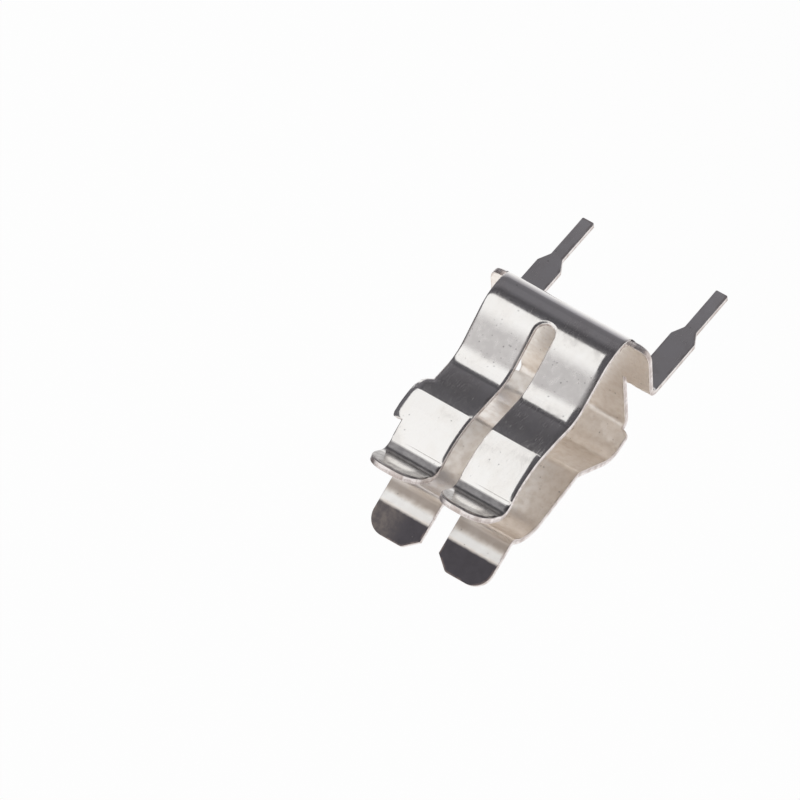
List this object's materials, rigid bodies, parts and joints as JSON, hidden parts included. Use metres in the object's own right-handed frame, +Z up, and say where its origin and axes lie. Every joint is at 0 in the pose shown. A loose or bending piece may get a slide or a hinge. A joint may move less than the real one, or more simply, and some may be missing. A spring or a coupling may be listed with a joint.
{
  "type": "pcb fuse holder",
  "caption": "Folded sheet-metal fuse clip that stands on a circuit board on two solder pins and grips a glass fuse's metal end cap between split springy walls.",
  "frame": {"origin": "on the board's top face, midway between the two solder pins; the fuse axis lies above it, 0.08 mm nearer the left wall", "axes": "+Z up from the board towards the mouth that the fuse goes in at, +X from the narrow half of the base towards the wide half that carries the pins, +Y along the fuse axis towards the end stop"},
  "size_m": [0.0071, 0.008, 0.0166],
  "materials": {
    "tinned_sheet": "bright tin plating, lightly scratched"
  },
  "bodies": {
    "root": {"fuse_clip": "tinned_sheet"}
  },
  "joints": []
}
